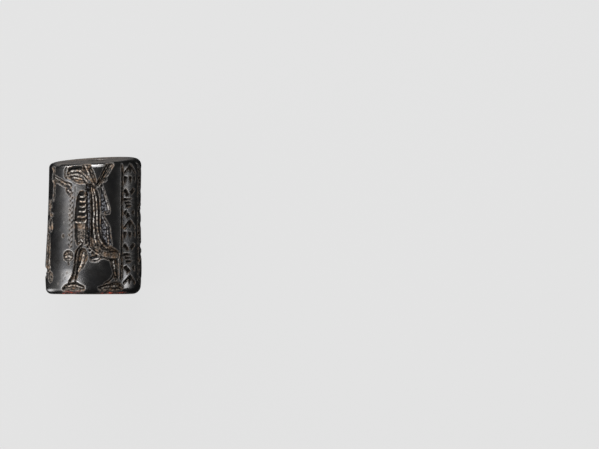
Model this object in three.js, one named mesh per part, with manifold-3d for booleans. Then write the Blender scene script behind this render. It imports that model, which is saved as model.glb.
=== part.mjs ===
// A cylinder seal of dark polished hematite: one stone, engraved all round and drilled end to end for a cord.
// It lies on its side on a narrow worn flat, with its axis along Y and its head end towards +Y.
// Lengths are in millimetres. A place on the wall is [degrees, height]: degrees go round from the line that
// faces straight up, towards +X, and height goes along the stone from its foot end.
import * as THREE from "three";
import { ConvexGeometry } from "three/addons/geometries/ConvexGeometry.js";
import { mergeVertices } from "three/addons/utils/BufferGeometryUtils.js";
import Module from "manifold-3d";

const LENGTH = 24.1; // at the axis
const FOOT_RADIUS = 8.82;
const HEAD_RADIUS = 8.3;
const LEAN = 0.44; // how far the head end's centre stands towards +X of the foot end's
const WAIST = 0.12; // the wall is worn hollow by this between the two heights of WAIST_SPAN
const WAIST_SPAN = [4.5, 23.5];
const FOOT_DOME = 0.38; // the wall draws in by this towards the foot end, from DOME_HEIGHT down
const DOME_HEIGHT = 6;
const FOOT_SHIFT = 0.16; // and its last few millimetres stand this much towards +X
const FOOT_SHIFT_SPAN = [3, 5.2];
const FOOT_ROUNDING = 1.3; // more by this share of it where the wall faces +X, and less opposite
const FOOT_ROUNDING_TO_X = 0.17;
const HEAD_ROUNDING = 1.1; // likewise, and less by the second share where the wall faces +Z
const HEAD_ROUNDING_TO_X = 0.3;
const HEAD_ROUNDING_TO_Z = -0.35;
const HEAD_SLANT = 0.86; // the head end is worn aslant: higher by this at SLANT_SIDE, lower by it opposite
const SLANT_SIDE = 142;
const REST_FLAT_WIDTH = 2.4;
const BORE_MOUTH_RADIUS = 1.55;
const BORE_WAIST_RADIUS = 1.3; // drilled from both ends, so it narrows to the middle
const BORE_SKEW = 1.0; // how far the bore runs towards +X from its foot end to its head end
const WALL_SIDES = 72;
const BORE_SIDES = 20;
const STONE = { color: 0x1c1b1b, roughness: 0.28, metalness: 0.35 };

const wasm = await Module();
wasm.setup();

const radians = THREE.MathUtils.degToRad;
const withinOne = (value) => THREE.MathUtils.clamp(value, 0, 1);
const restFlatDepth = FOOT_RADIUS - Math.sqrt(FOOT_RADIUS ** 2 - (REST_FLAT_WIDTH / 2) ** 2);

function waistedRadius(height) {
  const [low, high] = WAIST_SPAN;
  const hollow = WAIST * Math.sin(Math.PI * withinOne((height - low) / (high - low)));
  return THREE.MathUtils.lerp(FOOT_RADIUS, HEAD_RADIUS, height / LENGTH) - hollow;
}

const wallRadius = (height) => waistedRadius(height) - FOOT_DOME * withinOne(1 - height / DOME_HEIGHT) ** 2;

// The stone tapers but lies level, so above the foot's dome the lowest point of each section is at one height.
function place(x, height, z) {
  const [full, none] = FOOT_SHIFT_SPAN;
  const lean = (LEAN * height) / LENGTH + FOOT_SHIFT * withinOne((none - height) / (none - full));
  return new THREE.Vector3(lean + x, height, waistedRadius(height) - restFlatDepth + z);
}

function onWall(degrees, height, outward = 0) {
  const radius = wallRadius(height) + outward;
  return place(radius * Math.sin(radians(degrees)), height, radius * Math.cos(radians(degrees)));
}

// A closed mesh as a solid that can be joined and cut.
function solid(geometry) {
  const bare = geometry.clone();
  for (const name of Object.keys(bare.attributes)) if (name !== "position") bare.deleteAttribute(name);
  const merged = mergeVertices(bare, 1e-5);
  return new wasm.Manifold(
    new wasm.Mesh({
      numProp: 3,
      vertProperties: new Float32Array(merged.attributes.position.array),
      triVerts: new Uint32Array(merged.index.array),
    }),
  );
}

// The uncut stone: a turned blank with rounded rims, its rings moved to the taper, the lean and the slant.
const WALL_RINGS = [2.6, 4.2, 11, 17.5];
const RIM_TURNS = [0, 45, 90];

function blank() {
  const rim = (radius, end, inwards, rounding) =>
    RIM_TURNS.map((turn) => [
      radius - rounding * (1 - Math.cos(radians(turn))),
      end + inwards * rounding * (1 - Math.sin(radians(turn))),
    ]);
  const outline = [
    [0, 0],
    ...rim(FOOT_RADIUS, 0, 1, FOOT_ROUNDING).reverse(),
    ...WALL_RINGS.map((height) => [FOOT_RADIUS, height]),
    ...rim(HEAD_RADIUS, LENGTH, -1, HEAD_ROUNDING),
    [0, LENGTH],
  ].map(([radius, height]) => new THREE.Vector2(radius, height));
  const turned = new THREE.LatheGeometry(outline, WALL_SIDES);
  const points = turned.attributes.position;
  for (let i = 0; i < points.count; i++) {
    let height = points.getY(i);
    const radius = Math.hypot(points.getX(i), points.getZ(i));
    const [toX, toZ] = radius > 0 ? [points.getX(i) / radius, points.getZ(i) / radius] : [0, 0];
    let worn = wallRadius(height);
    if (height <= FOOT_ROUNDING) {
      const more = 1 + FOOT_ROUNDING_TO_X * toX;
      worn = wallRadius(FOOT_ROUNDING * more) - (FOOT_RADIUS - radius) * more;
      height *= more;
    } else if (height >= LENGTH - HEAD_ROUNDING) {
      const more = 1 + HEAD_ROUNDING_TO_X * toX + HEAD_ROUNDING_TO_Z * toZ;
      worn = wallRadius(LENGTH - HEAD_ROUNDING * more) - (HEAD_RADIUS - radius) * more;
      height = LENGTH - (LENGTH - height) * more;
    }
    if (radius === 0) worn = 0;
    if (points.getY(i) >= LENGTH - HEAD_ROUNDING) {
      const toHighSide = toX * Math.sin(radians(SLANT_SIDE)) + toZ * Math.cos(radians(SLANT_SIDE));
      height += (HEAD_SLANT * worn * toHighSide) / HEAD_RADIUS;
    }
    points.setXYZ(i, ...place(worn * toX, height, worn * toZ));
  }
  return solid(turned);
}

function bore() {
  const past = 3;
  const outline = [
    [0, -past],
    [BORE_MOUTH_RADIUS * 1.4, -past],
    [BORE_MOUTH_RADIUS * 1.15, 0],
    [BORE_MOUTH_RADIUS, 0.9],
    [BORE_WAIST_RADIUS, LENGTH / 2],
    [BORE_MOUTH_RADIUS, LENGTH - 1.4],
    [BORE_MOUTH_RADIUS * 1.2, LENGTH],
    [BORE_MOUTH_RADIUS * 1.4, LENGTH + past],
    [0, LENGTH + past],
  ].map(([radius, height]) => new THREE.Vector2(radius, height));
  const centre = waistedRadius(LENGTH / 2) - restFlatDepth;
  const drill = new THREE.LatheGeometry(outline, BORE_SIDES).rotateZ(-Math.atan(BORE_SKEW / LENGTH));
  return solid(drill.translate(0, 0, centre));
}

// The flat that the stone rests on: everything below Z = 0 is worn away.
function belowRest() {
  const deep = 4;
  return solid(new THREE.BoxGeometry(60, 80, deep).translate(0, LENGTH / 2, -deep / 2));
}

const CLEAR = 0.35; // how far a cutter stands out of the wall
const cutters = [];
const cut = (points) => cutters.push(solid(new ConvexGeometry(points)));
const perDegree = radians(1) * ((FOOT_RADIUS + HEAD_RADIUS) / 2);

// The points across a groove, from one lip over its floor to the other. Narrow grooves have a V floor.
function acrossGroove([degrees, height, width], depth, heading) {
  const vFloor = [[-0.6, 1], [0, -1], [0.6, 1]];
  const roundFloor = [[-0.58, 1], [-0.3, -0.72], [0, -1], [0.3, -0.72], [0.58, 1]];
  return (width > 0.5 ? roundFloor : vFloor).map(([side, level]) => {
    const off = side * width;
    return onWall(
      degrees + (-off * Math.sin(heading)) / perDegree,
      height + off * Math.cos(heading),
      level > 0 ? CLEAR : level * depth,
    );
  });
}

// A groove through the stations [degrees, height, width], with ends that run out to the wall.
function groove(depth, ...stations) {
  const heading = stations.map((station, i) => {
    const before = stations[Math.max(i - 1, 0)];
    const after = stations[Math.min(i + 1, stations.length - 1)];
    return Math.atan2(after[1] - before[1], (after[0] - before[0]) * perDegree);
  });
  const runOut = (i, way) => {
    const [degrees, height, width] = stations[i];
    const far = 0.5 * width * way;
    return onWall(
      degrees + (far * Math.cos(heading[i])) / perDegree,
      height + far * Math.sin(heading[i]),
      CLEAR / 2,
    );
  };
  for (let i = 0; i + 1 < stations.length; i++) {
    cut([
      ...acrossGroove(stations[i], depth, heading[i]),
      ...acrossGroove(stations[i + 1], depth, heading[i + 1]),
      ...(i === 0 ? [runOut(0, -1)] : []),
      ...(i + 2 === stations.length ? [runOut(i + 1, 1)] : []),
    ]);
  }
}

// A round or oval hollow, as a ball drill leaves.
function hollow(depth, degrees, height, width, tall = width, sides = 8) {
  const ring = (share, outward) =>
    Array.from({ length: sides }, (_, i) => {
      const turn = (2 * Math.PI * i) / sides;
      return onWall(
        degrees + (share * width * Math.cos(turn)) / 2 / perDegree,
        height + (share * tall * Math.sin(turn)) / 2,
        outward,
      );
    });
  cut([...ring(1.12, CLEAR), ...ring(0.66, -0.72 * depth), onWall(degrees, height, -depth)]);
}

// A wedge: a broad deep head that tapers to a tail. turn is the way the tail points, in degrees from +X.
function wedge(degrees, height, length, head, turn, depth = 0.3) {
  const [alongX, alongY] = [Math.cos(radians(turn)), Math.sin(radians(turn))];
  const at = (along, across, outward) =>
    onWall(
      degrees + (along * alongX - across * alongY) / perDegree,
      height + along * alongY + across * alongX,
      outward,
    );
  cut([
    at(0, head * 0.62, CLEAR),
    at(0, -head * 0.62, CLEAR),
    at(length * 0.5, 0, CLEAR),
    at(length * 1.05, 0, CLEAR * 0.3),
    at(length * 0.2, 0, -depth),
    at(length * 0.85, 0, -depth * 0.2),
  ]);
}

// The large figure in an open robe, striding towards the mace, with its head lost at the worn end.
function stridingFigure() {
  groove(0.5, [-7.8, 19.6, 1.0], [-6.2, 14.8, 1.15], [-5.2, 11.4, 1.3], [-2, 9.1, 1.6]);
  groove(0.5, [-2, 9.1, 1.6], [6, 7.7, 1.6], [17, 7.3, 1.7], [27.5, 7.1, 1.6]);
  groove(0.22, [-1.8, 18.9, 0.3], [2.4, 14.5, 0.36], [3, 11.4, 0.36], [6, 9.7, 0.36], [22, 8.5, 0.4]);
  groove(0.38, [7.2, 19.4, 0.55], [9.8, 17.6, 1.2], [12.4, 16, 1.9], [13.2, 15.2, 1.7]);
  groove(0.38, [10.2, 13.8, 0.8], [13.4, 12.5, 1.8], [14, 10.8, 1.9], [16.6, 9.4, 1.5]);
  groove(0.55, [-13, 23.4, 1.2], [-6.4, 21.7, 1.1], [-1, 19.7, 0.8]);
  groove(0.5, [16.5, 23.5, 1.2], [10, 21.4, 1.1], [4.4, 19.8, 0.7]);
  hollow(0.3, 12.2, 20.6, 0.8, 0.6, 6);
  // the bent arm, the folds over it and the forearm with what it holds
  groove(0.5, [-36, 21.2, 0.5], [-30, 21.2, 1.1], [-21, 21.0, 1.3], [-13.5, 20.5, 1.0]);
  groove(0.4, [-33.5, 22.4, 0.6], [-26, 22.6, 0.8], [-16.5, 22.2, 0.8]);
  groove(0.45, [-65, 21.2, 0.75], [-56, 20.8, 0.95], [-44, 20.2, 0.9], [-33, 19.85, 0.8]);
  groove(0.25, [-67.5, 22.6, 0.3], [-63.5, 21.5, 0.55]);
  groove(0.3, [-38.4, 19.1, 0.6], [-34, 18.3, 0.65]);
  groove(0.2, [-62.6, 19.8, 0.55], [-63, 17.3, 0.45]);
}

// The fringed kilt over the bared leg, the leg and both feet.
function stridingLegs() {
  const bars = 6;
  for (let i = 0; i < bars; i++) {
    const reach = 3.0 + 0.5 * i;
    groove(0.4, [-16 - reach, 17.7 - 0.91 * i, 0.42], [-15.4 + reach * 0.8, 17.7 - 0.91 * i, 0.48]);
  }
  groove(0.36, [-17.2, 12.4, 1.4], [-16.6, 11, 1.4], [-16.4, 9.5, 1.0]);
  groove(0.3, [-14.2, 9.1, 0.35], [-20.4, 7.7, 0.5], [-21.8, 5.3, 0.5], [-26.2, 2.8, 0.4]);
  groove(0.55, [-13.2, 7.8, 1.0], [-13.4, 6.8, 1.6], [-15.4, 5.6, 1.3], [-19, 4.0, 0.6], [-22, 2.6, 0.4]);
  groove(0.4, [-38, 1.15, 0.5], [-26, 1.45, 1.0], [-13, 1.25, 0.6]);
  groove(0.42, [25.4, 6.0, 1.5], [27.4, 4.6, 1.0], [28.8, 2.8, 0.65]);
  groove(0.38, [7, 1.15, 0.4], [20, 1.4, 0.85], [35.5, 1.45, 0.8]);
  groove(0.2, [24.5, 3.2, 0.4], [14, 2.0, 0.3]);
  hollow(0.4, 1.5, 6.4, 1.7, 0.85);
}

function mace() {
  groove(0.14, [-30.4, 18.8, 0.9], [-30, 8.4, 0.9]);
  hollow(0.6, -32, 6.9, 2.1, 1.95);
  hollow(0.2, -31.2, 5.6, 0.6, 0.6, 6);
}

// The two small figures between the large ones, one above the other.
function smallFigures() {
  groove(0.26, [-83, 16.2, 0.4], [-78, 16.5, 0.42], [-73.4, 16.3, 0.42]);
  groove(0.26, [-73.4, 16.3, 0.42], [-71.3, 15.2, 0.42], [-69.6, 14.3, 0.45], [-63.5, 14.3, 0.45]);
  groove(0.2, [-70, 16.7, 0.35], [-67, 15.9, 0.35]);
  groove(0.2, [-82, 15.3, 0.4], [-76.5, 15.3, 0.4]);
  hollow(0.25, -86, 16.2, 0.55, 0.55, 6);
  hollow(0.5, -67.6, 12.5, 1.95, 2.0);
  hollow(0.4, -78, 12.2, 1.4, 1.6);
  groove(0.28, [-96, 15.4, 0.4], [-92, 14.1, 0.45], [-92.3, 12.7, 0.45], [-89.5, 11.2, 0.6]);
  groove(0.36, [-74.2, 10.6, 1.3], [-73.4, 8.2, 1.8], [-72.6, 4.9, 2.2]);
  groove(0.2, [-79, 4.3, 0.3], [-70, 4.15, 0.3]);
  hollow(0.5, -65.6, 3.0, 1.9, 1.8);
  groove(0.48, [-106, 3.2, 0.5], [-102, 3.9, 0.75], [-95.5, 4.2, 0.85], [-89, 4.0, 0.75], [-82.5, 3.2, 0.5]);
}

// The second large figure, in a long robe, with one hand raised.
function robedFigure() {
  groove(0.45, [-99, 23.2, 0.9], [-95, 21.7, 1.15], [-91.5, 20.9, 0.8]);
  groove(0.34, [-118, 19.6, 2.4], [-117, 17.4, 3.6], [-118.5, 14.6, 3.7], [-121.5, 12, 3.1]);
  groove(0.3, [-121, 12.4, 2.9], [-122, 8.8, 2.5], [-122, 5.0, 2.5]);
  groove(0.3, [-138.5, 22.2, 1.0], [-137, 19.5, 0.95], [-137.4, 16.9, 0.6]);
  groove(0.16, [-135.6, 13.9, 0.3], [-135.8, 9.4, 0.3]);
  groove(0.34, [-137, 7.9, 1.1], [-137.3, 5.2, 1.0]);
  groove(0.22, [-113, 4.35, 0.3], [-136, 4.3, 0.3]);
  groove(0.22, [-113, 3.75, 0.3], [-125, 3.7, 0.3]);
  groove(0.32, [-117, 3.3, 0.6], [-115.6, 2.1, 0.8], [-107.5, 1.3, 0.4]);
  groove(0.3, [-141, 1.3, 0.6], [-128, 1.2, 0.7]);
}

// Five upright panels of wedge strokes. The strokes only fill the rows: they are no writing.
const PANEL_LINES = [34, 65.5, 102.5, 136.5, 176, 210.5];
const PANEL_TOP = 22.7;
const PANEL_FOOT = 2.3;
const LINE_HEIGHT = 1.98;
const PANEL_MARGIN = 4.6; // degrees, between a line and the strokes beside it
// A stroke of a row: where its head is, as a share of the row's width and a height over the row's foot, then its
// length as a share of the width, the breadth of its head and the way its tail points.
const ROW_KINDS = [
  [[0.5, 0.75, 0.4, 1.0, -90], [0.5, 0.75, 0.5, 0.4, -140], [0.5, 0.75, 0.5, 0.4, -40]],
  [[0.12, 0.75, 0.42, 0.85, -100], [0.5, 0.75, 0.36, 0.85, -88], [0.88, 0.75, 0.3, 0.85, -76]],
  [[0.05, 0.35, 0.5, 0.85, -35], [0.55, -0.15, 0.5, 0.85, 25]],
  [[0, 0.62, 0.75, 0.46, 4], [0.1, 0.02, 0.65, 0.46, 4], [0.2, -0.58, 0.55, 0.46, 4]],
  [[0.1, 0.5, 0.3, 1.0, -60], [0.4, 0, 0.3, 1.0, -130], [0.75, 0.5, 0.3, 1.0, -60]],
];

function inscription() {
  for (const line of PANEL_LINES) groove(0.2, [line, 23.3, 0.3], [line, PANEL_FOOT + 0.4, 0.3]);
  for (let panel = 0; panel + 1 < PANEL_LINES.length; panel++) {
    const left = PANEL_LINES[panel] + PANEL_MARGIN;
    const wide = (PANEL_LINES[panel + 1] - left - PANEL_MARGIN) * perDegree;
    for (let row = 0; PANEL_TOP - LINE_HEIGHT * row > PANEL_FOOT; row++) {
      if (panel === 2 && row > 4 && row < 8) continue; // a patch left smooth
      const foot = PANEL_TOP - LINE_HEIGHT * row - 0.4;
      for (const [share, above, long, head, turn] of ROW_KINDS[(row + 2 * panel) % ROW_KINDS.length]) {
        wedge(left + (share * wide) / perDegree, foot + above, long * wide, head, turn, 0.4);
      }
    }
  }
}

// A flake lost from the wall: a shallow scar with an uneven edge.
function flake(depth, degrees, height, width, tall) {
  const sides = 9;
  const ring = (share, outward) =>
    Array.from({ length: sides }, (_, i) => {
      const turn = (2 * Math.PI * i) / sides;
      const reach = share * (1 + 0.16 * Math.sin(2.3 * i + degrees));
      return onWall(
        degrees + (reach * width * Math.cos(turn)) / 2 / perDegree,
        height + (reach * tall * Math.sin(turn)) / 2,
        outward,
      );
    });
  cut([...ring(1.05, CLEAR), ...ring(0.55, -depth)]);
}

// Losses at the rims: one large flake by the panels' foot and small nicks.
function chips() {
  flake(0.5, 136, 2.3, 6.4, 3.6);
  flake(0.5, 20, 0.1, 1.7, 1.4);
  flake(0.45, -30, 0.0, 2.2, 1.3);
  flake(0.35, -62, 23.4, 2.6, 1.4);
  flake(0.4, 66, 24.2, 2.2, 1.5);
  flake(0.45, -158, 23.2, 2.8, 1.8);
  flake(0.45, 96, 0.2, 2.0, 1.5);
  flake(0.5, -91, 4.0, 3.4, 2.0);
}

stridingFigure();
stridingLegs();
mace();
smallFigures();
robedFigure();
inscription();
chips();

// A cut solid as geometry for a mesh.
function geometryOf(body) {
  const { vertProperties, triVerts, numProp } = body.getMesh();
  const geometry = new THREE.BufferGeometry();
  const count = vertProperties.length / numProp;
  const places = new Float32Array(count * 3);
  for (let i = 0; i < count; i++) places.set(vertProperties.subarray(i * numProp, i * numProp + 3), i * 3);
  geometry.setAttribute("position", new THREE.BufferAttribute(places, 3));
  geometry.setIndex(new THREE.BufferAttribute(triVerts, 1));
  geometry.computeVertexNormals();
  return geometry;
}

const engraved = blank().subtract(wasm.Manifold.union(cutters)).subtract(bore()).subtract(belowRest());
const seal = new THREE.Mesh(geometryOf(engraved), new THREE.MeshStandardMaterial(STONE));
seal.name = "seal";

// The origin is under the middle of the stone, where it rests.
const extent = new THREE.Box3().setFromObject(seal);
const middle = extent.getCenter(new THREE.Vector3());
seal.position.set(-middle.x, -middle.y, -extent.min.z);

const cylinderSeal = new THREE.Group();
cylinderSeal.add(seal);
export default cylinderSeal;
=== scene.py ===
import math

import bpy
import numpy as np
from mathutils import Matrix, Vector


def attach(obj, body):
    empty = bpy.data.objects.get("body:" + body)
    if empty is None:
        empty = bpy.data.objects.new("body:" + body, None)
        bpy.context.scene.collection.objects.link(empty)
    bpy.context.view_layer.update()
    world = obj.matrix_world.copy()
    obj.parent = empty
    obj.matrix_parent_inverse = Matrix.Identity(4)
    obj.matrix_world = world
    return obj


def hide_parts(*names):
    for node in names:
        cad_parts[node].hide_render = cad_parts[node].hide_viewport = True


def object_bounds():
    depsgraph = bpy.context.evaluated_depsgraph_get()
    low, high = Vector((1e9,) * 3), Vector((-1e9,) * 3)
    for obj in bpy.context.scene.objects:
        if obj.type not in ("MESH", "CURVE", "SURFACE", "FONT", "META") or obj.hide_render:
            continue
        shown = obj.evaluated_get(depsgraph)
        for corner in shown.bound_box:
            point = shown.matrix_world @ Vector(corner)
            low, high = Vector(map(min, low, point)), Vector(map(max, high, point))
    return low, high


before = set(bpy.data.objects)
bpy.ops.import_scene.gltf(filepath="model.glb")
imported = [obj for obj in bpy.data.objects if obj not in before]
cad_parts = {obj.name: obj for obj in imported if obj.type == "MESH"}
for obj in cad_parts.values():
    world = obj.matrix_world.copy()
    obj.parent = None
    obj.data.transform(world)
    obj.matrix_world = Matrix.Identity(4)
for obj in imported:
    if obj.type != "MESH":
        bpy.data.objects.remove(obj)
cad_low, cad_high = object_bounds()

# The stone's blank: a cylinder of hematite ground to a slight taper, drilled from both ends and polished.
# Its rims are worn round, its head end is worn aslant, and it lies on a narrow flat worn along one side.
# Lengths are in millimetres until the mesh is made. Angles are in degrees from the line that faces up.
MM = 0.001
LENGTH = 24.1
FOOT_RADIUS, HEAD_RADIUS = 8.82, 8.3
LEAN = 0.44
FOOT_SHIFT, FOOT_SHIFT_SPAN = 0.025, (3.0, 5.2)  # towards +X
FOOT_ROUNDING, FOOT_ROUNDING_SHARE = 1.3, 0.17  # larger towards +X
HEAD_ROUNDING, HEAD_ROUNDING_SHARE = 1.1, (0.3, -0.35)  # larger towards +X, smaller where it faces up
HEAD_SLANT, SLANT_SIDE = 0.86, 142
WAIST, WAIST_SPAN = 0.12, (4.5, 23.5)
FOOT_DOME, DOME_HEIGHT = 0.38, 6.0
REST_FLAT_WIDTH = 2.4
BORE_RINGS = [  # height, radius
    (0.0, 1.78), (0.12, 1.73), (0.9, 1.55), (3.0, 1.5), (LENGTH / 2, 1.3),
    (21, 1.5), (22.7, 1.55), (23.95, 1.81), (LENGTH, 1.86),
]
BORE_SKEW = 1.0  # how far the bore's head end lies off the axis, towards +X
IN_THE_BORE = -50.0  # the reach of every place on the bore's wall, which no tool reaches
MM_PER_DEGREE = math.radians(1) * (FOOT_RADIUS + HEAD_RADIUS) / 2
COLUMN_STEPS = [(-100, -48, 0.82), (-48, 38, 0.6), (38, 98, 0.8), (98, 259.5, 1.15)]  # from, to, by degrees
WALL_ROWS = 196

angle = np.concatenate([np.arange(*span) for span in COLUMN_STEPS])
turn = np.radians(angle)
high_side = np.cos(turn - math.radians(SLANT_SIDE))
foot_round = FOOT_ROUNDING * (1 + FOOT_ROUNDING_SHARE * np.sin(turn))
to_x, to_top = HEAD_ROUNDING_SHARE
head_round = HEAD_ROUNDING * (1 + to_x * np.sin(turn) + to_top * np.cos(turn))
flat_depth = FOOT_RADIUS - math.sqrt(FOOT_RADIUS**2 - (REST_FLAT_WIDTH / 2) ** 2)


def wall_radius(height):
    return FOOT_RADIUS + (HEAD_RADIUS - FOOT_RADIUS) * height / LENGTH


def waist(height):
    """How far the wall is worn hollow between the ends."""
    low, high = WAIST_SPAN
    return WAIST * np.sin(np.clip((height - low) / (high - low), 0, 1) * math.pi)


def worn_radius(height):
    """The wall's radius with its hollow waist, and its dome towards the foot."""
    return wall_radius(height) - waist(height) - FOOT_DOME * np.clip(1 - height / DOME_HEIGHT, 0, 1) ** 2


# A ring holds, for every column: radius, height, the outward normal's two parts, the distance along the
# stone's skin that the engraving is measured by, and how far the ring's centre has moved to the bore's.
rings = []


def ring(radius, height, out, up, reach, to_bore=0.0):
    facts = (radius, height, out, up, reach, to_bore)
    rings.append(np.array([np.broadcast_to(fact, angle.shape) for fact in facts]))


QUARTER = math.pi / 2
for share in (1.0, 0.98, 0.72, 0.4, 0.16):  # the foot end, from the bore's mouth outwards
    edge = worn_radius(foot_round) - foot_round
    radius = edge + (BORE_RINGS[0][1] - edge) * share
    ring(radius, 0.0, 0.0, -1.0, foot_round * (1 - QUARTER) - (edge - radius), share)
for step in np.linspace(0, 1, 11)[:-1]:
    tilt = QUARTER * (1 - step)
    radius = worn_radius(foot_round) - foot_round * (1 - math.cos(tilt))
    height = foot_round * (1 - math.sin(tilt))
    ring(radius, height, math.cos(tilt), -math.sin(tilt), foot_round * (1 - tilt))
head_edge = LENGTH - head_round + HEAD_SLANT * high_side
for share in np.linspace(0, 1, WALL_ROWS):
    height = foot_round + (head_edge - foot_round) * share
    ring(worn_radius(height), height, 1.0, 0.0, height)
for step in np.linspace(0, 1, 10)[1:]:
    tilt = QUARTER * step
    radius = worn_radius(head_edge) - head_round * (1 - math.cos(tilt))
    height = LENGTH - head_round * (1 - math.sin(tilt))
    ring(radius, height, math.cos(tilt), math.sin(tilt), head_edge + head_round * tilt)
for share in (0.12, 0.28, 0.45, 0.65, 0.85, 0.98, 1.0):
    edge = worn_radius(head_edge) - head_round
    radius = edge + (BORE_RINGS[-1][1] - edge) * share
    ring(radius, LENGTH, 0.0, 1.0, head_edge + head_round * QUARTER + edge - radius, share)
for height, radius in BORE_RINGS[-2:0:-1]:
    ring(radius, height, 0.0, 0.0, IN_THE_BORE, 1.0)

blank = np.stack(rings, axis=1)
radius, height, out, up, reach, to_bore = blank
in_bore = reach == IN_THE_BORE
cut_depth = np.zeros_like(reach)


# Noise is drawn once from a seeded lattice and read between its points, so it joins up round the stone.
NOISE_FROM, NOISE_SPAN = -20, 60  # mm along the skin


def noise(step, seed):
    columns, rows = int(round(360 * MM_PER_DEGREE / step)), int(NOISE_SPAN / step)
    lattice = np.random.default_rng(seed).uniform(-1, 1, (rows, columns))
    u = np.broadcast_to((angle % 360) / 360 * columns, reach.shape)
    v = np.clip((reach - NOISE_FROM) / step, 0, rows - 2)
    i, j = np.floor(v).astype(int), np.floor(u).astype(int)
    fv, fu = v - i, u - j
    fv, fu = fv * fv * (3 - 2 * fv), fu * fu * (3 - 2 * fu)
    j0, j1 = j % columns, (j + 1) % columns
    return (lattice[i, j0] * (1 - fu) + lattice[i, j1] * fu) * (1 - fv) + (
        lattice[i + 1, j0] * (1 - fu) + lattice[i + 1, j1] * fu) * fv


# The tools. Each leaves its mark in cut_depth, at places given as degrees and height, and the deepest mark
# counts. A wheel leaves grooves, a ball drill leaves bowls, and a graver leaves wedges and fine lines.
# tone is painted into the colour: below 0 near black, which along a mark's inner side and at a ridge's foot
# is painted shade with some packed earth; above 0 paler, on a lip or crest painted highlight with handling
# wear.
tone = np.zeros_like(reach)
SIDE, LIP_HIGHLIGHT_AND_WEAR = 0.17, 0.12  # mm: how wide the painted shade inside a mark's edge is, and the painted highlight lip outside it
BESIDE_RIDGE = 0.22  # mm: how wide the painted shade at a ridge's foot is
CRISP, SOFT = 0.05, 0.06  # mm: over how much of its edge a tint fades
LIP_TONE, EARTH_TONE, WEDGE_TONE, BLACK = 0.29, 0.15, -0.75, -1.0
UNCUT = 0.05  # mm: a wall cut no deeper than this can still carry a lip
skin = reach + 0.055 * noise(0.8, 11) + 0.02 * noise(0.3, 12)  # a hand-held graver wavers
waver = 0.055 * noise(0.8, 13) + 0.02 * noise(0.3, 14)


def near(a_low, a_high, margin):
    """The columns that a mark can reach, and their places in mm round the wall from a_low."""
    middle, half = (a_low + a_high) / 2, (a_high - a_low) / 2 + margin / MM_PER_DEGREE
    off = (angle - middle + 180) % 360 - 180
    columns = np.flatnonzero(np.abs(off) < half)
    return columns, (off[columns] + middle - a_low)[None, :] * MM_PER_DEGREE + waver[:, columns]


def press(columns, mark):
    cut_depth[:, columns] = np.maximum(cut_depth[:, columns], mark)


def tint(columns, weight, value):
    tone[:, columns] += (value - tone[:, columns]) * np.clip(weight, 0, 1)


def settle(columns, inward, floor=0.0):
    """Tint a mark by how far inside its edge each place is, in mm."""
    tint(columns, inward / CRISP + 0.5, floor)
    # Near black along the mark's inner side: painted shade, with some packed earth.
    tint(columns, np.minimum(inward / CRISP + 0.5, (SIDE - inward) / SOFT + 0.5), BLACK)
    # A pale lip on the uncut wall just outside the edge: painted highlight, with handling wear.
    lip = np.minimum(-inward / CRISP, (LIP_HIGHLIGHT_AND_WEAR + inward) / CRISP + 0.5)
    tint(columns, lip * (cut_depth[:, columns] < UNCUT), LIP_TONE)


def along(stations):
    """How far each place is from a line through [degrees, height, width], and half the width there, in mm."""
    angles = [s[0] for s in stations]
    columns, x = near(min(angles), max(angles), max(s[2] for s in stations))
    y = skin[:, columns]
    best = np.full(y.shape, np.inf)
    apart, half = best.copy(), best.copy()
    points = [((a - min(angles)) * MM_PER_DEGREE, h, w / 2) for a, h, w in stations]
    for (x0, y0, w0), (x1, y1, w1) in zip(points, points[1:]):
        dx, dy = x1 - x0, y1 - y0
        share = np.clip(((x - x0) * dx + (y - y0) * dy) / (dx * dx + dy * dy + 1e-9), 0, 1)
        half_there = w0 + (w1 - w0) * share
        distance = np.hypot(x - x0 - dx * share, y - y0 - dy * share)
        closer = distance / half_there < best
        best = np.where(closer, distance / half_there, best)
        apart, half = np.where(closer, distance, apart), np.where(closer, half_there, half)
    return columns, apart, half


def groove(deep, *stations, floor="round"):
    """A cut through [degrees, height, width] stations, as deep as stated where it is widest."""
    columns, apart, half = along(stations)
    inside = np.clip(1 - apart / half, 0, 1)
    shape = {"round": np.sqrt(inside * (2 - inside)), "vee": inside, "flat": np.clip(inside * 3, 0, 1)}[floor]
    press(columns, deep * shape * (half * 2 / max(s[2] for s in stations)) ** 0.6)
    settle(columns, half - apart, EARTH_TONE)


def black_line(deep, *stations):
    """A fine groove painted near black from edge to edge as painted shade."""
    groove(deep, *stations)
    columns, apart, half = along(stations)
    tint(columns, (half - apart) / CRISP + 0.7, BLACK)


def ridge(tall, *stations):
    """A line left standing, or raised again, inside a mark."""
    columns, apart, half = along(stations)
    inside = np.clip(1 - apart / half, 0, 1)
    here = cut_depth[:, columns]
    rise = 1.2 * tall * inside * inside * (3 - 2 * inside)
    cut_depth[:, columns] = np.where(here > 0, np.maximum(here - rise, 0.02), 0)
    in_mark = here > 0.03
    # A near-black band along the ridge's foot: painted shade.
    tint(columns, in_mark * ((half + BESIDE_RIDGE - apart) / SOFT), BLACK)
    # A pale crest: painted highlight, with handling wear.
    tint(columns, in_mark * ((half * 0.85 - apart) / CRISP + 0.6), 1.0)


def bowl(deep, degrees, height, wide, tall=None, lean=0.0):
    """An oval hollow, its width turned lean degrees up from level."""
    tall = tall or wide
    columns, x = near(degrees, degrees, max(wide, tall))
    y = skin[:, columns] - height
    c, s = math.cos(math.radians(lean)), math.sin(math.radians(lean))
    offset = ((x * c + y * s) / (wide / 2)) ** 2 + ((y * c - x * s) / (tall / 2)) ** 2
    press(columns, deep * np.sqrt(np.clip(1 - offset, 0, 1)))
    settle(columns, (1 - np.sqrt(offset)) * min(wide, tall) / 2, EARTH_TONE)


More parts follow.
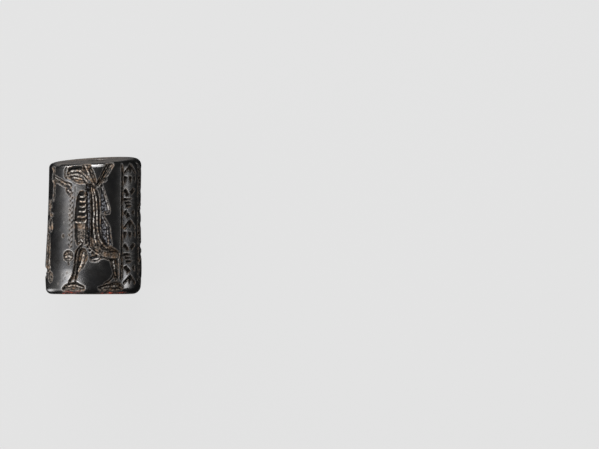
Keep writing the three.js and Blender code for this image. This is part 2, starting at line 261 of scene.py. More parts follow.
def wedge(degrees, height, length, head, lean, deep=0.3):
    """A triangular stroke: a broad deep head and a tail that leaves it at lean degrees from level."""
    columns, x = near(degrees, degrees, length + head)
    y = skin[:, columns] - height
    c, s = math.cos(math.radians(lean)), math.sin(math.radians(lean))
    on, across = x * c + y * s, np.abs(y * c - x * s)
    half = head / 2 * (1 - on / length)
    inward = np.minimum(half - across, on + 0.05)
    press(columns, deep * np.clip(inward / (head / 2) * 1.5, 0, 1))
    settle(columns, inward, WEDGE_TONE)


def area(deep, lip, *corners):
    """A recess inside an outline of [degrees, height] corners, its wall sloping over lip mm."""
    angles = [c[0] for c in corners]
    columns, x = near(min(angles), max(angles), 0.3)
    y = skin[:, columns]
    points = [((a - min(angles)) * MM_PER_DEGREE, h) for a, h in corners]
    inside = np.zeros(y.shape, bool)
    distance = np.full(y.shape, 9.0)
    for (x0, y0), (x1, y1) in zip(points, points[1:] + points[:1]):
        dx, dy = x1 - x0, y1 - y0
        share = np.clip(((x - x0) * dx + (y - y0) * dy) / (dx * dx + dy * dy + 1e-9), 0, 1)
        distance = np.minimum(distance, np.hypot(x - x0 - dx * share, y - y0 - dy * share))
        crosses = (y0 > y) != (y1 > y)
        inside ^= crosses & (x < x0 + dx * (y - y0) / (dy if abs(dy) > 1e-9 else 1e-9))
    slope = np.clip(distance / lip, 0, 1)
    press(columns, np.where(inside, deep * np.sqrt(slope * (2 - slope)), 0))
    settle(columns, np.where(inside, distance, -distance))
    return columns, inside


silver = np.zeros_like(reach)


def keep_silver(columns, inside):
    """A floor that handling has kept clear of earth, so that it shows the stone's grey."""
    silver[:, columns] = np.maximum(silver[:, columns], inside)


# The large figure in an open robe, striding towards the mace: the deepest cutting on the stone. Its head
# is lost at the worn end. The robe is a broad channel with two rolled edges and a fringe beside it.
def striding_robe():
    fringed_edge = [(-12.1, 19.9), (-10.6, 18.8), (-10.4, 17.6), (-9.4, 14.9), (-8.7, 12.3), (-8.8, 11.4),
                    (-7.4, 10.6), (-7.6, 9.9), (-6.7, 8.8)]
    area(0.4, 0.25, *fringed_edge, (-3.2, 7.95), (1.1, 7.3), (8, 6.7), (17.5, 6.2), (30.4, 6.2), (32, 6.9),
         (31, 7.6), (28.3, 7.95), (17.2, 8.7), (12.3, 9.25), (8.3, 10.3), (6.4, 11.7), (5.6, 13.4),
         (5.4, 14.5), (4.6, 16.5), (2.6, 17.9), (1.2, 18.9), (-2, 19.6))
    keep_silver(*area(0.3, 0.25, *fringed_edge, (-4.5, 8.6), (-5, 10.4), (-5.2, 14.9), (-6, 17.6),
                      (-8, 19.4)))
    groove(0.6, (-2.0, 10.5, 0.8), (0.6, 8.9, 1.1), (7, 7.7, 1.5), (14, 7.3, 1.5), (21, 7.1, 1.5),
           (28.5, 7.0, 1.4))
    black_line(0.6, (-5.4, 19.2, 0.4), (-3.6, 17.75, 0.5), (-2.6, 15, 0.55), (-2.3, 12.3, 0.55),
               (-1.8, 10.3, 0.5))
    ridge(0.4, (-4.1, 19.1, 0.2), (-2.2, 17.6, 0.22), (-0.9, 16.2, 0.24), (-0.5, 14.5, 0.24),
          (-0.4, 12.3, 0.24), (0.1, 11.4, 0.24), (1.4, 9.9, 0.26), (3.4, 8.9, 0.26))
    ridge(0.4, (-1.3, 18.8, 0.2), (1.0, 17.75, 0.22), (2.8, 16.5, 0.22), (3.5, 14.5, 0.22), (3.9, 12.3, 0.22),
          (4.7, 11.2, 0.24), (6.5, 10.1, 0.24), (10.4, 9.0, 0.26), (16.2, 8.35, 0.24), (21, 8.25, 0.2))
    black_line(0.4, (2.2, 18.6, 0.24), (5.0, 17.2, 0.3), (5.9, 15.5, 0.34), (6.0, 12.3, 0.34),
               (7.2, 11, 0.34), (9.6, 10, 0.34), (13.4, 9.15, 0.3), (19, 8.75, 0.24))
    for i in range(24):  # the fringe's knots and its ragged edge
        a, h = -11.2 + 0.09 * i, 19.0 - 0.44 * i
        bowl(0.38, a + 2.4 + 1.6 * math.sin(2.4 * i), h, 0.24, 0.2, 40)
        bowl(0.3, a + 0.4 + 0.5 * math.sin(4 * i), h + 0.2, 0.3, 0.22, 20)
    for a, h, wide in [
        (-8.0, 9.3, 0.5), (-6.6, 8.5, 0.5), (-4.0, 7.9, 0.55),
        (-0.6, 7.35, 0.6), (3.6, 6.95, 0.5), (9.5, 6.55, 0.5),
    ]:  # the scalloped hem
        bowl(0.4, a, h, wide, 0.36, -30)
    ridge(0.3, (-8.3, 9.6, 0.2), (-7.4, 9.1, 0.16), (-7.0, 8.8, 0.22), (-5.2, 8.45, 0.16),
          (-3.4, 8.1, 0.22), (0, 7.65, 0.16), (3.3, 7.35, 0.2), (8.2, 6.9, 0.16))
    keep_silver(*area(0.3, 0.2, (7.0, 19.9), (9.2, 19.7), (12.2, 18.4), (15.2, 17.2), (18, 16.1),
                      (19.6, 15.2), (18.8, 14.5), (14, 14.4), (9, 14.6), (7.8, 15.4), (7.4, 17.2)))
    ridge(0.2, (8.8, 19.2, 0.16), (11.6, 18.1, 0.2), (14.4, 17.0, 0.2), (17, 16.0, 0.2), (18.2, 15.2, 0.18),
          (16.8, 14.75, 0.16), (12.4, 14.75, 0.14))
    keep_silver(*area(0.32, 0.2, (8.6, 14.1), (10.6, 14.1), (14.4, 13.4), (17.6, 12.6), (19.9, 11.9),
                      (20.6, 10.4), (22.7, 8.75), (19, 8.7), (14, 9.3), (10.8, 10.1), (8.6, 11.3),
                      (8, 12.9)))
    ridge(0.24, (9.6, 13.9, 0.2), (13.4, 13.05, 0.24), (16.6, 12.3, 0.24), (17.6, 11.8, 0.2))
    ridge(0.2, (16.9, 11.6, 0.2), (17.6, 10.4, 0.22), (18.8, 9.0, 0.2))


# One arm bends across, the other reaches left to the mace, and two straps cross at the shoulder.
def striding_arms():
    area(0.52, 0.25, (-37.6, 21.7), (-35.7, 22.3), (-31.6, 22.6), (-17.2, 22.75), (-14.4, 22.5),
         (-11.5, 21.7), (-9, 20.8), (-9.6, 20.2), (-12.1, 19.8), (-15.7, 20.0), (-19.3, 19.9), (-25, 20.1),
         (-30, 20.5), (-34.2, 20.8), (-37, 21.05))
    ridge(0.42, (-36.6, 21.75, 0.3), (-32.4, 22.05, 0.36), (-25.5, 22.14, 0.38), (-19.8, 22.05, 0.38),
          (-14.2, 21.5, 0.34), (-10.1, 20.95, 0.28))
    ridge(0.42, (-36.2, 21.25, 0.3), (-32.3, 21.45, 0.36), (-25.3, 21.45, 0.38), (-19.6, 21.3, 0.38),
          (-14.1, 20.8, 0.34), (-11.3, 20.35, 0.28))
    ridge(0.2, (-30, 20.95, 0.26), (-24, 20.85, 0.3), (-17, 20.6, 0.26))
    groove(0.1, (-38.5, 22.75, 0.3), (-41.2, 22.0, 0.5), (-41, 21.2, 0.5), (-38, 20.75, 0.3))
    black_line(0.16, (-35, 22.5, 0.4), (-28, 22.8, 0.6), (-19, 22.85, 0.6))
    area(0.48, 0.3, (-17.2, 23.5), (-14.4, 22.4), (-12.5, 22.0), (-7, 20.8), (-3.3, 19.8), (0.2, 18.9),
         (1.4, 19.0), (1.2, 19.9), (0.9, 20.8), (-1.4, 21.7), (-4.7, 22.7), (-7.6, 23.6))
    ridge(0.34, (-13.2, 23.3, 0.3), (-9.2, 21.9, 0.34), (-4.2, 20.5, 0.32), (-0.8, 19.4, 0.26))
    bowl(0.62, -5.0, 22.1, 0.6, 1.6, 32)
    groove(0.3, (1.2, 19.3, 0.4), (4.4, 20.15, 0.5), (7.8, 20.9, 0.5), (10.8, 22.1, 0.5), (15.6, 23.3, 0.6))
    groove(0.55, (3.6, 19.6, 0.45), (5.6, 20.1, 0.5), (10.8, 21.3, 0.6), (18.3, 23.3, 0.7))
    groove(0.34, (8.9, 20.3, 0.4), (12.2, 21.1, 0.5), (15.8, 21.8, 0.5), (21.4, 23.3, 0.6))
    ridge(0.2, (6.0, 20.5, 0.2), (9.4, 21.4, 0.22), (16.6, 23.3, 0.22))
    bowl(0.34, 12.2, 20.6, 0.75, 0.6, 30)
    area(0.5, 0.25, (-66, 21.5), (-53.6, 20.95), (-43, 20.35), (-35, 20.0), (-30.4, 19.85), (-30.0, 19.5),
         (-34.7, 19.0), (-41.4, 19.3), (-53.3, 20.05), (-63, 20.1), (-67, 20.5))
    ridge(0.3, (-64, 20.95, 0.26), (-53, 20.5, 0.3), (-42, 19.85, 0.34), (-34, 19.55, 0.3))
    groove(0.28, (-67.1, 22.9, 0.4), (-61.5, 22.2, 0.45), (-64, 21.5, 0.4))
    keep_silver(*area(0.36, 0.22, (-39.1, 19.0), (-35, 19.1), (-30.6, 18.9), (-30.9, 18.2), (-33.3, 17.7),
                      (-37.1, 18.1)))
    ridge(0.2, (-36.6, 18.7, 0.26), (-33.4, 18.3, 0.28))
    groove(0.28, (-60.2, 19.7, 0.5), (-62.2, 17.0, 0.45))


# The fringed kilt over the bared leg, the leg and both feet.
def striding_legs():
    columns, inside = area(0.2, 0.5, (-18.8, 18.5), (-13.2, 18.5), (-10.4, 17), (-9.4, 14.6), (-9.0, 12.2),
                           (-9.2, 10), (-10.4, 8.8), (-21, 8.8), (-24.0, 10), (-25.2, 13.4), (-24.4, 15.4),
                           (-22.4, 17.6))
    # The kilt's recess is painted near black: painted shade round the flounces.
    tint(columns, inside, -0.95)
    for a_left, a_right, h, w in [
        (-18.6, -13.4, 17.7, 0.42), (-18.9, -12.0, 16.9, 0.5), (-19.2, -11.8, 15.98, 0.56),
        (-19.4, -11.4, 15.08, 0.56), (-21, -10.9, 14.12, 0.56), (-24.2, -10.9, 13.15, 0.62),
    ]:  # the kilt's flounces
        a_middle = (a_left + a_right) / 2
        groove(0.5, (a_left, h + 0.03, w * 0.7), (a_middle, h - 0.03, w * 0.8), (a_right, h + 0.03, w * 0.7))
        ridge(0.3, (a_left, h - 0.2, 0.16), (a_middle, h - w / 2 - 0.06, 0.24), (a_right, h - 0.24, 0.22),
              (a_right + 0.5, h + 0.1, 0.2))
    columns, inside = area(0.34, 0.3, (-21.6, 12.7), (-11.7, 12.6), (-11.1, 11), (-11.4, 9.1),
                           (-13.6, 8.75), (-19.8, 9.0), (-20.8, 11))
    tint(columns, inside, 0.12)
    ridge(0.26, (-19, 9.5, 0.2), (-16.6, 9.8, 0.22), (-14.4, 9.5, 0.2), (-14.6, 9.1, 0.2), (-17.2, 8.95, 0.2))
    groove(0.42, (-14.2, 9.2, 0.35), (-16.3, 8.45, 0.45), (-20.4, 7.7, 0.55), (-21.6, 6.5, 0.55),
           (-21.9, 5.3, 0.5), (-23.4, 4, 0.5), (-25.9, 2.9, 0.45), (-30.5, 2.2, 0.3))
    area(0.6, 0.45, (-18.6, 7.6), (-16.3, 8.15), (-13.5, 8.3), (-10.6, 8.15), (-8.9, 7.8), (-7.4, 7.1),
         (-7.6, 6.4), (-8.8, 5.9), (-12.4, 4.85), (-16.8, 4.3), (-19, 3.4), (-20.3, 2.7), (-22.2, 2.15),
         (-23, 2.9), (-21.4, 4), (-20.1, 5.2), (-19.5, 6.5))
    ridge(0.2, (-12.2, 7.3, 0.5), (-14.4, 5.6, 0.5), (-19, 4.1, 0.3))
    area(0.42, 0.25, (-41.2, 0.95), (-36.1, 1.64), (-30.2, 2.0), (-21, 2.1), (-15.7, 1.75), (-11, 1.4),
         (-10, 0.9), (-15.5, 0.7), (-25.3, 0.8), (-36.8, 0.55))
    ridge(0.26, (-37, 1.3, 0.22), (-29, 1.55, 0.26), (-20, 1.5, 0.26), (-13.5, 1.2, 0.22))
    area(0.45, 0.25, (19.3, 6.25), (30.3, 6.3), (31, 4.8), (31.1, 2.7), (26.9, 2.45), (24.9, 3.66),
         (22.1, 4.9))
    ridge(0.22, (25.2, 5.9, 0.34), (28.4, 3.4, 0.28))
    groove(0.14, (24.9, 3.66, 0.24), (23.2, 3.0, 0.3), (17.9, 2.3, 0.3), (12.8, 1.9, 0.2))
    area(0.4, 0.25, (4.5, 1.2), (8.6, 1.5), (17.1, 1.8), (26.9, 2.25), (32.7, 2.15), (37.8, 1.5), (40, 1.0),
         (30.8, 0.85), (17.2, 0.72), (8.7, 0.78))
    ridge(0.22, (10, 1.15, 0.22), (20, 1.4, 0.26), (33, 1.45, 0.24))
    keep_silver(*area(0.42, 0.3, (-4.7, 6.6), (-0.5, 6.9), (5, 6.85), (8, 6.6), (7.2, 6.15), (2.2, 5.85),
                      (-3.7, 6.0)))
    ridge(0.3, (-2, 6.2, 0.2), (2.4, 6.3, 0.3), (6.2, 6.45, 0.22))


# The mace with its beaded staff stands before the figure and ends in a ball.
def mace():
    for i in range(24):
        a, lean = ((-31.6, 35), (-28.8, -35))[i % 2]
        bowl(0.09, a, 18.6 - 0.44 * i, 0.24, 0.66, lean)
    groove(0.06, (-25.2, 19.4, 0.2), (-25.8, 17, 0.22), (-26.8, 15.1, 0.22), (-27, 8.4, 0.2), floor="vee")
    bowl(0.42, -32.0, 6.9, 2.1, 1.95)
    ridge(0.12, (-36.4, 6.7, 0.3), (-32, 6.85, 0.5), (-27.8, 6.7, 0.3))
    bowl(0.12, -31, 5.5, 0.5)
    bowl(0.15, -41, 10.5, 0.45, 0.6)
    for a, h in [(-39, 3.6), (-36, 3.0), (-33, 3.9), (-40, 2.5), (-47, 1.9), (17, 12.1), (-39.5, 12.8)]:
        bowl(0.06, a, h, 0.22)


# Two small figures stand between the large ones, one above the other, with a boat-like crescent.
def small_figures():
    groove(0.28, (-83, 16.2, 0.4), (-78, 16.6, 0.42), (-73.4, 16.3, 0.42), (-71.6, 15.2, 0.42),
           (-69.6, 14.3, 0.45), (-63.5, 14.2, 0.45))
    groove(0.22, (-70, 16.7, 0.4), (-67, 15.8, 0.35))
    for a, h, w in [(-86, 16.3, 0.55), (-82.5, 15.3, 0.4), (-77, 15.3, 0.45), (-80, 14.6, 0.5)]:
        bowl(0.22, a, h, w)
    bowl(0.52, -67.8, 12.4, 1.5, 2.3, 15)
    bowl(0.42, -79, 12.1, 1.5, 1.9)
    groove(0.3, (-96, 15.4, 0.4), (-92, 14.1, 0.45), (-92.3, 12.7, 0.45), (-89.5, 11.2, 0.6), (-84, 11, 0.5))
    area(0.42, 0.35, (-78, 10.8), (-70, 10.7), (-66.5, 8), (-63.5, 4.4), (-78, 4.3), (-78, 7.5))
    ridge(0.15, (-74, 10.4, 0.3), (-72.5, 4.6, 0.3))
    ridge(0.15, (-71, 9.8, 0.3), (-67.5, 4.6, 0.3))
    groove(0.2, (-84, 4.2, 0.3), (-68, 4.15, 0.3))
    bowl(0.52, -64, 3.1, 1.9, 1.9)
    groove(0.5, (-107, 3.0, 0.5), (-103, 3.8, 0.85), (-95, 4.2, 0.95), (-88, 4.0, 0.85), (-84, 3.4, 0.6),
           (-79, 3.2, 0.4))
    for a, h, w in [(-102.5, 2.6, 0.5), (-99.5, 2.2, 0.4), (-93, 7.0, 0.6), (-102, 6.4, 0.5), (-107, 11, 0.5),
                    (-85.5, 10, 0.5)]:
        bowl(0.2, a, h, w)


# The second large figure wears a long closed robe and raises one hand to the worn end.
def robed_figure():
    groove(0.48, (-99.5, 23.4, 0.9), (-95, 21.7, 1.2), (-91, 20.6, 0.8))
    area(0.4, 0.5, (-131, 21.5), (-118, 21.8), (-111, 20.3), (-108, 19.2), (-104.8, 18), (-104, 16.3),
         (-105, 15), (-109, 13.5), (-113, 11.5), (-116.5, 10.4), (-114.6, 8), (-113.5, 4.7), (-133, 4.8),
         (-134.5, 10), (-132.5, 15), (-134, 19))
    for a_top, a_foot in [(-111, -117), (-117, -120.5), (-122.5, -124.5), (-127.5, -129)]:
        ridge(0.2, (a_top, 18.5, 0.3), ((a_top + a_foot) / 2, 11, 0.3), (a_foot, 4.9, 0.3))
    ridge(0.2, (-106, 17, 0.3), (-118, 15.4, 0.3), (-130, 16.4, 0.3))
    groove(0.24, (-113, 4.4, 0.3), (-142, 4.35, 0.3))
    groove(0.24, (-113, 3.72, 0.3), (-135, 3.7, 0.3))
    groove(0.34, (-119, 3.2, 0.7), (-115, 2.1, 0.85), (-106.5, 1.2, 0.4))
    groove(0.32, (-142.5, 1.2, 0.6), (-132, 1.25, 0.8), (-122.5, 1.0, 0.5))
    groove(0.32, (-138.8, 22.4, 1.0), (-137.4, 19.5, 1.0), (-138, 16.9, 0.7))
    groove(0.2, (-136.8, 15.5, 0.35), (-137, 9.4, 0.35))
    groove(0.2, (-140.5, 15.5, 0.3), (-140.8, 9.4, 0.3))
    area(0.36, 0.35, (-141, 8.6), (-134.5, 8.8), (-132, 6.6), (-133.5, 4.4), (-140.5, 4.3))


# Five upright panels of wedge strokes between cut lines. The strokes only fill the rows and are no writing.
PANEL_LINES = [34, 65.5, 102.5, 136.5, 176, 210.5]
PANEL_TOP, PANEL_FOOT, LINE_HEIGHT, PANEL_MARGIN = 22.7, 2.3, 1.98, 4.6
ROW_KINDS = 5


def stroke_row(kind, left, wide, h):
    """One row of plain strokes across a panel, h being the row's middle."""
    at = lambda share: left + wide * share / MM_PER_DEGREE
    if kind == 0:
        wedge(at(0.5), h + 0.72, 1.5, 1.1, -90, 0.42)
        for share in (0.42, 0.58):
            groove(0.3, (at(0.5), h + 0.8, 0.3), (at(0.5 + (share - 0.5) * 6), h - 0.5, 0.26))
    elif kind == 1:
        for i, share in enumerate((0.12, 0.5, 0.88)):
            wedge(at(share), h + 0.75, 1.5 - 0.2 * i, 0.85, -100 + 12 * i, 0.4)
    elif kind == 2:
        for i, share in enumerate((0.05, 0.55)):
            wedge(at(share), h + 0.35 - 0.5 * i, wide * 0.5, 0.85, -35 + 60 * i, 0.4)
            bowl(0.34, at(share + 0.2), h - 0.45 + 0.9 * i, 0.55, 0.42)
    elif kind == 3:
        for i in range(3):
            wedge(at(0.1 * i), h + 0.62 - 0.6 * i, wide * (0.75 - 0.1 * i), 0.46, 4, 0.34)
    else:
        for i, share in enumerate((0.1, 0.4, 0.75)):
            wedge(at(share), h + 0.5 - 0.5 * (i % 2), 1.0, 1.0, -60 - 70 * (i % 2), 0.42)


def inscription():
    low_end = PANEL_FOOT + 0.4
    for line in PANEL_LINES:  # a pale edge painted as highlight with handling wear, the cut line and a fine line beside it
        columns, apart, half = along([(line, 23.0, 0.2), (line + 0.5, 12, 0.2), (line - 0.9, low_end, 0.16)])
        tint(columns, (half - apart) / CRISP + 0.5, 0.8)
        black_line(0.26, (line + 1.6, 23.2, 0.26), (line + 2.1, 12, 0.3), (line + 0.7, low_end, 0.26))
        groove(0.14, (line + 3.1, 22.6, 0.14), (line + 2.8, low_end + 0.1, 0.14), floor="vee")
    for panel, line in enumerate(PANEL_LINES[:-1]):
        left = line + PANEL_MARGIN
        wide = (PANEL_LINES[panel + 1] - PANEL_MARGIN - left) * MM_PER_DEGREE
        for row in range(int((PANEL_TOP - PANEL_FOOT) / LINE_HEIGHT) + 1):
            if not (panel == 2 and 4 < row < 8):  # a patch left smooth
                stroke_row((row + 2 * panel) % ROW_KINDS, left, wide, PANEL_TOP - LINE_HEIGHT * row - 0.4)


striding_robe()
striding_arms()
striding_legs()
mace()
small_figures()
robed_figure()
inscription()
engraved = cut_depth.copy()


# Wear: flakes lost at the rims, and a skin that is never quite true. The floors of the cuts stay rough.
ragged = 0.35 * noise(0.9, 3) + 0.15 * noise(0.35, 4)


def flake(deep, degrees, height, wide, tall):
    columns, x = near(degrees, degrees, max(wide, tall))
    y = reach[:, columns] - height
    offset = np.hypot(x / (wide / 2), y / (tall / 2)) + ragged[:, columns]
    press(columns, deep * np.clip((1 - offset) * 2.2, 0, 1))


rim_flakes = [  # depth, degrees, height, width, how tall
    (0.5, 136, 2.3, 6.4, 3.6), (0.2, 20, 0.1, 1.7, 1.4), (0.2, -30, 0.0, 2.2, 1.3),
    (0.35, -62, 23.4, 2.6, 1.4), (0.4, 66, 24.2, 2.2, 1.5), (0.45, -158, 23.2, 2.8, 1.8),
    (0.45, 96, 0.2, 2.0, 1.5),
]
side_nicks = [
    (0.5, -91, 4.0, 3.4, 2.0), (0.3, 90, 18.6, 2.6, 0.7), (0.26, 90, 15.2, 2.6, 1.6),
    (0.4, 90, 12.5, 2.6, 0.8), (0.3, 90, 8.7, 2.6, 1.0), (0.22, 90, 7.2, 2.4, 0.5),
]
for mark in rim_flakes + side_nicks:
    flake(*mark)

FLOOR_ROUGHNESS, SKIN_WAVE = 0.32, 0.008  # a share of a cut's depth, and mm
rough_floor = 0.55 * noise(0.22, 5) + 0.45 * noise(0.5, 6)
in_cut = np.clip(cut_depth / 0.12, 0, 1)
cut_depth = cut_depth * (1 + FLOOR_ROUGHNESS * rough_floor * in_cut) + SKIN_WAVE * (1 + noise(2.6, 7))


def blur(field, times):
    for _ in range(times):
        field = (np.roll(field, 1, 1) + 2 * field + np.roll(field, -1, 1)) / 4
        field = (np.roll(field, 1, 0) + 2 * field + np.roll(field, -1, 0)) / 4
    return field


cut_depth = blur(cut_depth, 2)

# The mesh of the stone, from the rings and what was cut from them.
radius = radius - cut_depth * out
height = height - cut_depth * up
sideways = radius * np.sin(turn)
upward = radius * np.cos(turn)
wall_middle = wall_radius(height) - waist(height) - flat_depth
bore_middle = wall_radius(LENGTH / 2) - waist(LENGTH / 2) - flat_depth
foot_share = np.clip((FOOT_SHIFT_SPAN[1] - height) / (FOOT_SHIFT_SPAN[1] - FOOT_SHIFT_SPAN[0]), 0, 1)
lean_there = LEAN * height / LENGTH + FOOT_SHIFT * foot_share
sideways = sideways + lean_there + to_bore * (BORE_SKEW * height / LENGTH - lean_there)
upward = upward + wall_middle + to_bore * (bore_middle - wall_middle)
slant = HEAD_SLANT / HEAD_RADIUS * (
    (sideways - lean_there) * math.sin(math.radians(SLANT_SIDE))
    + (upward - wall_middle) * math.cos(math.radians(SLANT_SIDE))
)
slanted = (reach > head_edge + 0.001) | in_bore
height = np.where(slanted & (height > LENGTH / 2 + 1), height + slant, height)
upward = np.maximum(upward, 0)

middle = (sideways.min() + sideways.max()) / 2
points = np.stack([sideways - middle, height + cad_low.y / MM, upward], axis=-1).reshape(-1, 3) * MM
n_rows, n_columns = reach.shape
row, column = np.meshgrid(np.arange(n_rows), np.arange(n_columns), indexing="ij")
next_row, next_column = (row + 1) % n_rows, (column + 1) % n_columns
corner = lambda r, c: (r * n_columns + c).reshape(-1)
quads = np.stack([
    corner(row, column), corner(row, next_column), corner(next_row, next_column), corner(next_row, column),
], axis=-1)

mesh = bpy.data.meshes.new("seal_stone")
mesh.from_pydata(points.tolist(), [], quads.tolist())
mesh.shade_smooth()
seal = bpy.data.objects.new("seal_stone", mesh)
bpy.context.scene.collection.objects.link(seal)


def keep(name, values):
    data = mesh.attributes.new(name, "FLOAT", "POINT").data
    data.foreach_set("value", values.astype(np.float32).reshape(-1))


keep("cut", np.where(in_bore, 1, np.clip(blur(engraved, 2) / 0.03, 0, 1)))
far_side = np.clip(0.3 - 0.9 * radius * np.cos(turn) / HEAD_RADIUS, 0.5, 1)  # more earth away from the top
on_head = np.clip((reach - head_edge) / head_round - 1.2, 0, 1) * far_side
on_foot = np.clip(-reach / 0.5, 0, 1) * ~in_bore
keep("end", on_head + on_foot)
keep("rubbed_and_highlight", np.clip(tone, 0, 1) * np.clip(0.75 + 0.5 * noise(0.5, 8), 0, 1))
# The bore's wall is painted near black: painted shade inside the bore.
keep("dirt_and_shade", np.where(in_bore, 0.9, np.clip(-tone, 0, 1)))
keep("silver", silver)
ochre = np.zeros_like(reach)
for a, h, wide in [(-33, -0.05, 14), (-20, 0.0, 8), (22, -0.05, 14), (40, 0.0, 9)]:
    away = np.hypot(((angle - a + 180) % 360 - 180) / wide, (reach - h) / 0.35)
    ochre = np.maximum(ochre, np.clip(1.5 - away, 0, 1))
keep("ochre", ochre)
uv = mesh.uv_layers.new(name="OFBake")
u = np.stack([column, column + 1, column + 1, column], axis=-1) / n_columns
v = np.stack([row, row, row + 1, row + 1], axis=-1) / n_rows
uv.data.foreach_set("uv", np.stack([u, v], axis=-1).astype(np.float32).reshape(-1))

# Polished hematite: near black with a metallic gloss on the worn wall, matt and brown with old earth in the
# cuts, lighter on the lips and crests as painted highlight with handling wear, near black along the cuts'
# sides and in the bore as painted shade, and stained with red ochre on the foot's rim.
stone = bpy.data.materials.new("polished hematite")
stone.use_nodes = True
nodes, links = stone.node_tree.nodes, stone.node_tree.links
bsdf = nodes["Principled BSDF"]
bsdf.inputs["IOR"].default_value = 1.2


def node(kind, label=None, **settings):
    made = nodes.new(kind)
    made.label = label or ""
    for key, value in settings.items():
        if key in made.inputs:
            made.inputs[key].default_value = value
        else:
            setattr(made, key, value)
    return made


def attribute(name):
    return node("ShaderNodeAttribute", name, attribute_name=name).outputs["Fac"]


def math_node(operation, a, b=None, c=None):
    made = node("ShaderNodeMath", operation=operation)
    for socket, value in zip(made.inputs, (a, b, c)):
        if value is None:
            continue
        if isinstance(value, (int, float)):
            socket.default_value = value
        else:
            links.new(value, socket)
    return made.outputs[0]


def blend(factor, a, b):
    made = node("ShaderNodeMix", data_type="RGBA")
    links.new(factor, made.inputs["Factor"])
    for socket, value in ((made.inputs[6], a), (made.inputs[7], b)):
        if isinstance(value, tuple):
            socket.default_value = (*value, 1)
        else:
            links.new(value, socket)
    return made.outputs[2]


place = node("ShaderNodeTexCoord").outputs["Object"]


def cloud(scale, detail=4.0, roughness=0.55):
    made = node("ShaderNodeTexNoise", Scale=scale, Detail=detail, Roughness=roughness)
    links.new(place, made.inputs["Vector"])
    return made.outputs["Fac"]


def ramp(value, low, high):
    made = node("ShaderNodeMapRange")
    made.inputs["From Min"].default_value = low
    made.inputs["From Max"].default_value = high
    links.new(value, made.inputs["Value"])
    return made.outputs["Result"]


cut, rubbed_and_highlight, dirt_and_shade = (attribute(name) for name in ("cut", "rubbed_and_highlight", "dirt_and_shade"))
silver_floor, ochre_mask, end_face = (attribute(name) for name in ("silver", "ochre", "end"))
speckle = ramp(cloud(3200, 3), 0.44, 0.6)
mottle = ramp(cloud(420, 5), 0.3, 0.7)
wall_colour = blend(mottle, (0.125, 0.125, 0.13), (0.165, 0.16, 0.155))
floor_colour = blend(speckle, (0.004, 0.0035, 0.003), (0.1, 0.084, 0.071))
in_patches = math_node("MULTIPLY", ramp(cloud(900, 4), 0.5, 0.64), 0.5)
TAN_EARTH, DARK_EARTH_AND_SHADE, OCHRE = (0.18, 0.108, 0.06), (0.002, 0.0018, 0.0015), (0.5, 0.05, 0.015)
earth = blend(in_patches, floor_colour, TAN_EARTH)
silver_colour = blend(speckle, (0.004, 0.0043, 0.005), (0.2, 0.205, 0.225))
earth = blend(math_node("MULTIPLY", silver_floor, 0.85), earth, silver_colour)
# Near black where the tone is below 0: packed earth, and painted shade along the cuts' sides and in the bore.
earth = blend(dirt_and_shade, earth, DARK_EARTH_AND_SHADE)
pale_crest_and_highlight = blend(ramp(cloud(1000, 4), 0.47, 0.6), (0.46, 0.43, 0.4), (0.35, 0.235, 0.15))
# Pale where the tone is above 0: handling wear, and painted highlight on lips and crests.
earth = blend(rubbed_and_highlight, earth, blend(speckle, (0.06, 0.052, 0.045), pale_crest_and_highlight))
pitted = ramp(cloud(1500, 5, 0.65), 0.42, 0.62)
earth = blend(end_face, earth, blend(pitted, (0.03, 0.025, 0.021), (0.22, 0.17, 0.13)))
stained = math_node("MULTIPLY", ochre_mask, ramp(cloud(1500), 0.35, 0.6))
earth = blend(stained, earth, OCHRE)
dull = math_node("MAXIMUM", cut, stained)
# The pale lips and crests, partly painted highlight, and the ends are matt.
for worn in (rubbed_and_highlight, end_face):
    dull = math_node("MAXIMUM", dull, math_node("MULTIPLY", worn, 0.9))
links.new(blend(dull, wall_colour, earth), bsdf.inputs["Base Color"])
links.new(math_node("SUBTRACT", 1.0, dull), bsdf.inputs["Metallic"])
wall_rough = math_node("MULTIPLY_ADD", cloud(700, 5), 0.16, 0.18)
links.new(math_node("MULTIPLY_ADD", cut, 0.25, wall_rough), bsdf.inputs["Roughness"])
bump = node("ShaderNodeBump", Strength=0.35, Distance=0.06 * MM)
fine_grain = math_node("MULTIPLY", cloud(2600, 4), 0.25)
grain = math_node("MULTIPLY_ADD", math_node("MULTIPLY", cut, speckle), 1.0, fine_grain)
links.new(grain, bump.inputs["Height"])
links.new(bump.outputs["Normal"], bsdf.inputs["Normal"])
mesh.materials.append(stone)

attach(seal, "root")
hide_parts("seal")

# The studio: a pale floor, a tall soft box on the left that is brighter towards the foot, a soft panel and
# a low strip past the head, a small panel at the foot, and a camera straight above.
FLOOR_GREY = 0.734
bpy.ops.mesh.primitive_plane_add(size=1.6)
floor = bpy.context.object
floor.name = "floor"
paper = bpy.data.materials.new("pale paper")
paper.use_nodes = True
sheet = paper.node_tree.nodes["Principled BSDF"].inputs
sheet["Base Color"].default_value = (0.005, 0.005, 0.005, 1)
sheet["Roughness"].default_value = 0.9
sheet["Emission Color"].default_value = (FLOOR_GREY, FLOOR_GREY, FLOOR_GREY, 1)
sheet["Emission Strength"].default_value = 1.0
floor.data.materials.append(paper)
floor.visible_glossy = False

world = bpy.data.worlds.new("studio")
world.use_nodes = True
bpy.context.scene.world = world
tree = world.node_tree
direction = tree.nodes.new("ShaderNodeTexCoord").outputs["Generated"]
parts = tree.nodes.new("ShaderNodeSeparateXYZ")
tree.links.new(direction, parts.inputs["Vector"])


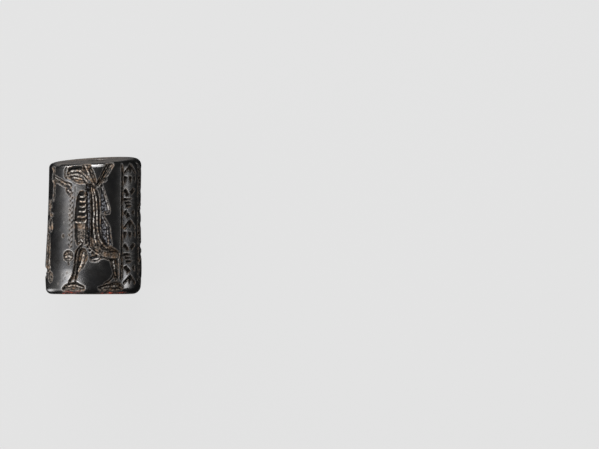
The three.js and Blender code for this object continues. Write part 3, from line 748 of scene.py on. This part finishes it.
def fade(value, ends, levels):
    made = tree.nodes.new("ShaderNodeMapRange")
    made.interpolation_type = "SMOOTHSTEP"
    for name, number in zip(("From Min", "From Max", "To Min", "To Max"), (*ends, *levels)):
        made.inputs[name].default_value = number
    tree.links.new(value, made.inputs["Value"])
    return made.outputs["Result"]


def combine(operation, a, b):
    made = tree.nodes.new("ShaderNodeMath")
    made.operation = operation
    for socket, value in zip(made.inputs, (a, b)):
        if isinstance(value, float):
            socket.default_value = value
        else:
            tree.links.new(value, socket)
    return made.outputs[0]


x_part, y_part, z_part = (parts.outputs[n] for n in "XYZ")
slanted_top = combine("ADD", z_part, combine("MULTIPLY", y_part, 2.4))
box = fade(z_part, (-0.05, 0.5), (0.06, 1.15))
box = combine("MULTIPLY", box, fade(slanted_top, (0.6, 0.68), (1.0, 0.0)))
box = combine("MULTIPLY", box, fade(x_part, (-0.92, -0.58), (1.0, 0.0)))
box = combine("MULTIPLY", box, fade(y_part, (-0.1, 0.02), (6.6, 0.95)))
foot_glow = fade(y_part, (-0.2, -0.1), (1.0, 0.0))
foot_glow = combine("MULTIPLY", foot_glow, fade(x_part, (-0.66, -0.4), (12.0, 0.0)))
foot_glow = combine("MULTIPLY", foot_glow, fade(x_part, (-1.0, -0.66), (0.0, 1.0)))
box = combine("ADD", box, combine("MULTIPLY", foot_glow, fade(y_part, (-0.5, -0.25), (0.0, 1.0))))
box = combine("ADD", box, fade(x_part, (0.8, 0.98), (0.0, 0.09)))
room = combine("MULTIPLY", combine("ADD", box, 0.05), fade(z_part, (-0.6, 0.0), (0.35, 1.0)))
tree.links.new(room, tree.nodes["Background"].inputs["Color"])
bpy.context.scene.view_settings.view_transform = "Standard"


MID_HEIGHT = 0.0085


def light_panel(name, at, size, power):
    data = bpy.data.lights.new(name, "AREA")
    data.shape = "RECTANGLE"
    data.size, data.size_y = size
    data.energy = power
    light = bpy.data.objects.new(name, data)
    light.location = at
    light.rotation_mode = "QUATERNION"
    light.rotation_quaternion = (Vector((0, 0, MID_HEIGHT)) - Vector(at)).to_track_quat("-Z", "Y")
    bpy.context.scene.collection.objects.link(light)


light_panel("head panel", (-0.06, 0.30, 0.34), (0.3, 0.3), 1.85)
light_panel("head strip", (-0.26, 0.47, 0.16), (0.7, 0.16), 6.5)
light_panel("foot panel", (0.40, -0.08, 0.05), (0.13, 0.1), 0.25)

PHOTO_WIDTH, PHOTO_HEIGHT = 599, 449
PIXELS_PER_MM = 5.56
SEAL_AT = (93.5, 225.2)  # the stone's middle in the photograph's frame, in pixels
SCALE_HEIGHT = 0.012  # m: the height at which a millimetre is that many pixels
camera_data = bpy.data.cameras.new("camera")
camera_data.angle = math.radians(5)
camera_data.clip_end = 10
camera = bpy.data.objects.new("camera", camera_data)
bpy.context.scene.collection.objects.link(camera)
bpy.context.scene.camera = camera
focal = PHOTO_WIDTH / 2 / math.tan(camera_data.angle / 2)  # in pixels
right_of = (PHOTO_WIDTH / 2 - SEAL_AT[0]) / focal
above = (SEAL_AT[1] - PHOTO_HEIGHT / 2) / focal
distance = focal / PIXELS_PER_MM * MM
camera.location = (0, 0, SCALE_HEIGHT + distance)
camera.rotation_euler = (math.atan(above), -math.atan(right_of), 0)
